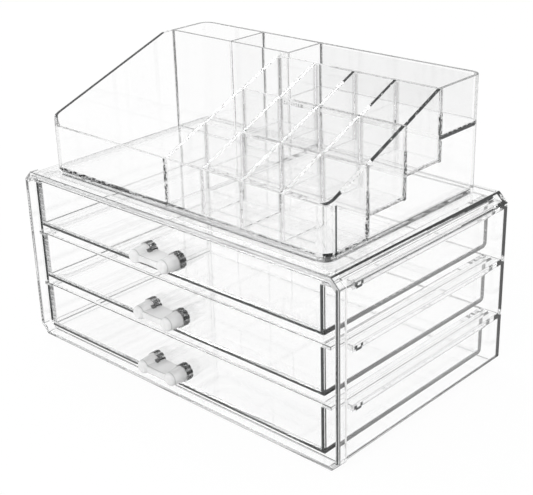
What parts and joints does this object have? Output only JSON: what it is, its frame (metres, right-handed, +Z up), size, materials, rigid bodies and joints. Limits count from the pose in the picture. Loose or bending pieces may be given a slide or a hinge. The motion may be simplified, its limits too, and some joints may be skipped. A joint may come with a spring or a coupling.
{
  "type": "cosmetics organizer",
  "caption": "Clear plastic makeup organizer: a chamfered cabinet with sliding drawers carries a lift-off tray with stepped lipstick slots, an open compartment and deep bins.",
  "frame": {"origin": "middle of the cabinet's flat underside", "axes": "+Z up, +X along the width to the right as the drawers are faced, drawers open towards -Y"},
  "size_m": [0.238, 0.1573, 0.1704],
  "materials": {
    "clear_cabinet": "clear moulded polystyrene, high gloss",
    "clear_drawer": "clear moulded polystyrene, high gloss",
    "clear_handle": "clear moulded polystyrene, polished",
    "clear_tray": "clear moulded polystyrene, high gloss"
  },
  "bodies": {
    "cabinet": {"case_shell": "clear_cabinet", "front_frame": "clear_cabinet", "back_panel": "clear_cabinet", "top_plinth": "clear_cabinet", "runner_left_top": "clear_cabinet", "runner_left_mid": "clear_cabinet", "runner_left_low": "clear_cabinet", "runner_right_top": "clear_cabinet", "runner_right_mid": "clear_cabinet", "runner_right_low": "clear_cabinet"},
    "drawer_top": {"drawer_top_box": "clear_drawer", "drawer_top_handle": "clear_handle"},
    "drawer_mid": {"drawer_mid_box": "clear_drawer", "drawer_mid_handle": "clear_handle"},
    "drawer_low": {"drawer_low_box": "clear_drawer", "drawer_low_handle": "clear_handle"},
    "tray": {"tray_shell": "clear_tray", "rack_side": "clear_tray", "rack_divider_1": "clear_tray", "rack_divider_2": "clear_tray", "rack_divider_3": "clear_tray", "row_wall_front": "clear_tray", "row_wall_middle": "clear_tray", "row_wall_rear": "clear_tray", "slot_floor_middle": "clear_tray", "slot_floor_rear": "clear_tray", "back_bin_floor": "clear_tray", "bin_front": "clear_tray", "bin_divider": "clear_tray"}
  },
  "joints": [
    {"name": "drawer_top_slide", "type": "slide", "parent": "cabinet", "child": "drawer_top", "axis": [0, -1, 0], "range_m": [0, 0.12]},
    {"name": "drawer_mid_slide", "type": "slide", "parent": "cabinet", "child": "drawer_mid", "axis": [0, -1, 0], "range_m": [0, 0.12]},
    {"name": "drawer_low_slide", "type": "slide", "parent": "cabinet", "child": "drawer_low", "axis": [0, -1, 0], "range_m": [0, 0.12]},
    {"name": "tray_lift", "type": "slide", "parent": "cabinet", "child": "tray", "axis": [0, 0, 1], "range_m": [0, 0.08]}
  ]
}
